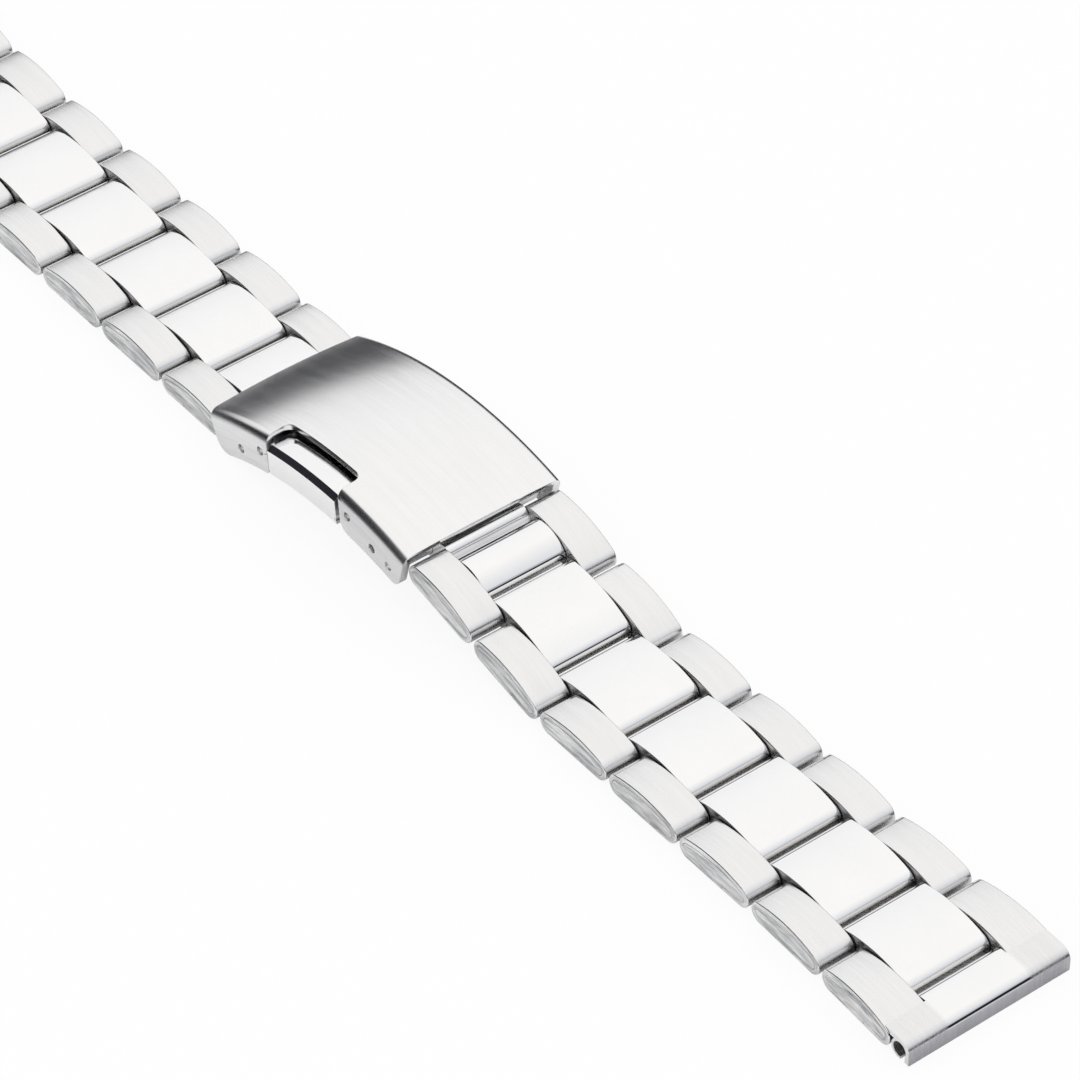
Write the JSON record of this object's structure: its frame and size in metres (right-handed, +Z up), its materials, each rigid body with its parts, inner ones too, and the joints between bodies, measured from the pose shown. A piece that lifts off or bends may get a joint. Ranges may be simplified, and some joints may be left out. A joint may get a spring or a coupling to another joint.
{
  "type": "watch bracelet",
  "caption": "Three-link steel watch bracelet with rolled brushed outer links, polished centre links and a folding clasp opened by a push button in its side",
  "frame": {"origin": "under the middle of the bracelet's bounding box, on the table it lies on", "axes": "+X runs along the band from the folded-blade end to the spring-bar end of the clasp, +Y across the band to the far side, +Z up from the table"},
  "size_m": [0.1666, 0.0182, 0.0081],
  "materials": {
    "brushed_links": "brushed lengthwise",
    "polished_links": "polished",
    "pin_steel": "turned",
    "end_piece_steel": "brushed wings, polished tongue",
    "cover_steel": "polished top, brushed flanges",
    "button_steel": "polished",
    "blade_steel": "brushed",
    "spring_steel": "drawn wire",
    "bar_steel": "turned"
  },
  "bodies": {
    "clasp_frame": {"clasp_cover": "cover_steel", "button_cross_pins": "pin_steel", "button_springs": "spring_steel", "blade_hinge_pin": "pin_steel", "spring_bar_sleeve": "bar_steel", "spring_bar_spring": "spring_steel"},
    "push_button": {"push_button": "button_steel"},
    "near_bar_tip": {"spring_bar_tip_near": "bar_steel"},
    "far_bar_tip": {"spring_bar_tip_far": "bar_steel"},
    "upper_blade": {"long_blade": "blade_steel", "blade_fold_pin": "pin_steel"},
    "lower_blade": {"short_blade": "blade_steel", "left_link_pin": "pin_steel"},
    "right_row_1": {"right_outer_links_1": "brushed_links", "right_centre_link_1": "polished_links", "right_pins_1": "pin_steel"},
    "right_row_2": {"right_outer_links_2": "brushed_links", "right_centre_link_2": "polished_links", "right_pins_2": "pin_steel"},
    "right_row_3": {"right_outer_links_3": "brushed_links", "right_centre_link_3": "polished_links", "right_pins_3": "pin_steel"},
    "right_row_4": {"right_outer_links_4": "brushed_links", "right_centre_link_4": "polished_links", "right_pins_4": "pin_steel"},
    "right_row_5": {"right_outer_links_5": "brushed_links", "right_centre_link_5": "polished_links", "right_pins_5": "pin_steel"},
    "right_row_6": {"right_outer_links_6": "brushed_links", "right_centre_link_6": "polished_links", "right_pins_6": "pin_steel"},
    "right_row_7": {"right_outer_links_7": "brushed_links", "right_centre_link_7": "polished_links", "right_pins_7": "pin_steel"},
    "right_end": {"right_end_piece": "end_piece_steel"},
    "left_row_1": {"left_outer_links_1": "brushed_links", "left_centre_link_1": "polished_links", "left_pins_1": "pin_steel"},
    "left_row_2": {"left_outer_links_2": "brushed_links", "left_centre_link_2": "polished_links", "left_pins_2": "pin_steel"},
    "left_row_3": {"left_outer_links_3": "brushed_links", "left_centre_link_3": "polished_links", "left_pins_3": "pin_steel"},
    "left_row_4": {"left_outer_links_4": "brushed_links", "left_centre_link_4": "polished_links", "left_pins_4": "pin_steel"},
    "left_row_5": {"left_outer_links_5": "brushed_links", "left_centre_link_5": "polished_links", "left_pins_5": "pin_steel"},
    "left_row_6": {"left_outer_links_6": "brushed_links", "left_centre_link_6": "polished_links", "left_pins_6": "pin_steel"},
    "left_row_7": {"left_outer_links_7": "brushed_links", "left_centre_link_7": "polished_links", "left_pins_7": "pin_steel"},
    "left_end": {"left_end_piece": "end_piece_steel"}
  },
  "joints": [
    {"name": "right_row_1_hinge", "type": "hinge", "parent": "clasp_frame", "child": "right_row_1", "pos_m": [0.0123, 0, 0.00403], "axis": [0, 1, 0], "range_deg": [-2, 30]},
    {"name": "right_row_2_hinge", "type": "hinge", "parent": "right_row_1", "child": "right_row_2", "pos_m": [0.02237, 0, 0.00323], "axis": [0, -1, 0], "range_deg": [-60, 25]},
    {"name": "right_row_3_hinge", "type": "hinge", "parent": "right_row_2", "child": "right_row_3", "pos_m": [0.03174, 0, 0.00115], "axis": [0, 1, 0], "range_deg": [-12.5, 72.5]},
    {"name": "right_row_4_hinge", "type": "hinge", "parent": "right_row_3", "child": "right_row_4", "pos_m": [0.04134, 0, 0.00115], "axis": [0, -1, 0], "range_deg": [-60, 25]},
    {"name": "right_row_5_hinge", "type": "hinge", "parent": "right_row_4", "child": "right_row_5", "pos_m": [0.05094, 0, 0.00115], "axis": [0, 1, 0], "range_deg": [-25, 60]},
    {"name": "right_row_6_hinge", "type": "hinge", "parent": "right_row_5", "child": "right_row_6", "pos_m": [0.06054, 0, 0.00115], "axis": [0, -1, 0], "range_deg": [-60, 25]},
    {"name": "right_row_7_hinge", "type": "hinge", "parent": "right_row_6", "child": "right_row_7", "pos_m": [0.07014, 0, 0.00115], "axis": [0, 1, 0], "range_deg": [-25, 60]},
    {"name": "right_end_hinge", "type": "hinge", "parent": "right_row_7", "child": "right_end", "pos_m": [0.07974, 0, 0.00115], "axis": [0, -1, 0], "range_deg": [-60, 25]},
    {"name": "left_row_1_hinge", "type": "hinge", "parent": "lower_blade", "child": "left_row_1", "pos_m": [-0.01254, 0, 0.00115], "axis": [0, -1, 0], "range_deg": [0, 40]},
    {"name": "left_row_2_hinge", "type": "hinge", "parent": "left_row_1", "child": "left_row_2", "pos_m": [-0.02214, 0, 0.00115], "axis": [0, 1, 0], "range_deg": [-60, 25]},
    {"name": "left_row_3_hinge", "type": "hinge", "parent": "left_row_2", "child": "left_row_3", "pos_m": [-0.03174, 0, 0.00115], "axis": [0, -1, 0], "range_deg": [-25, 60]},
    {"name": "left_row_4_hinge", "type": "hinge", "parent": "left_row_3", "child": "left_row_4", "pos_m": [-0.04134, 0, 0.00115], "axis": [0, 1, 0], "range_deg": [-60, 25]},
    {"name": "left_row_5_hinge", "type": "hinge", "parent": "left_row_4", "child": "left_row_5", "pos_m": [-0.05094, 0, 0.00115], "axis": [0, -1, 0], "range_deg": [-25, 60]},
    {"name": "left_row_6_hinge", "type": "hinge", "parent": "left_row_5", "child": "left_row_6", "pos_m": [-0.06054, 0, 0.00115], "axis": [0, 1, 0], "range_deg": [-60, 25]},
    {"name": "left_row_7_hinge", "type": "hinge", "parent": "left_row_6", "child": "left_row_7", "pos_m": [-0.07014, 0, 0.00115], "axis": [0, -1, 0], "range_deg": [-25, 60]},
    {"name": "left_end_hinge", "type": "hinge", "parent": "left_row_7", "child": "left_end", "pos_m": [-0.07974, 0, 0.00115], "axis": [0, 1, 0], "range_deg": [-60, 25]},
    {"name": "upper_blade_hinge", "type": "hinge", "parent": "clasp_frame", "child": "upper_blade", "pos_m": [-0.00982, 0, 0.00237], "axis": [0, 1, 0], "range_deg": [0, 170]},
    {"name": "lower_blade_hinge", "type": "hinge", "parent": "upper_blade", "child": "lower_blade", "pos_m": [0.00682, 0, 0.00353], "axis": [0, 1, 0], "range_deg": [-170, 0]},
    {"name": "push_button_slide", "type": "slide", "parent": "clasp_frame", "child": "push_button", "axis": [0, 1, 0], "range_m": [0, 0.0009], "stiffness_N_per_m": 300, "springref_m": -0.0005},
    {"name": "near_bar_tip_slide", "type": "slide", "parent": "clasp_frame", "child": "near_bar_tip", "axis": [0, 1, 0], "range_m": [0, 0.0009], "stiffness_N_per_m": 200, "springref_m": -0.0005},
    {"name": "far_bar_tip_slide", "type": "slide", "parent": "clasp_frame", "child": "far_bar_tip", "axis": [0, -1, 0], "range_m": [0, 0.0009], "stiffness_N_per_m": 200, "springref_m": -0.0005}
  ],
  "couplings": [
    {"joint": "lower_blade_hinge", "follows": "upper_blade_hinge", "ratio": -1}
  ]
}
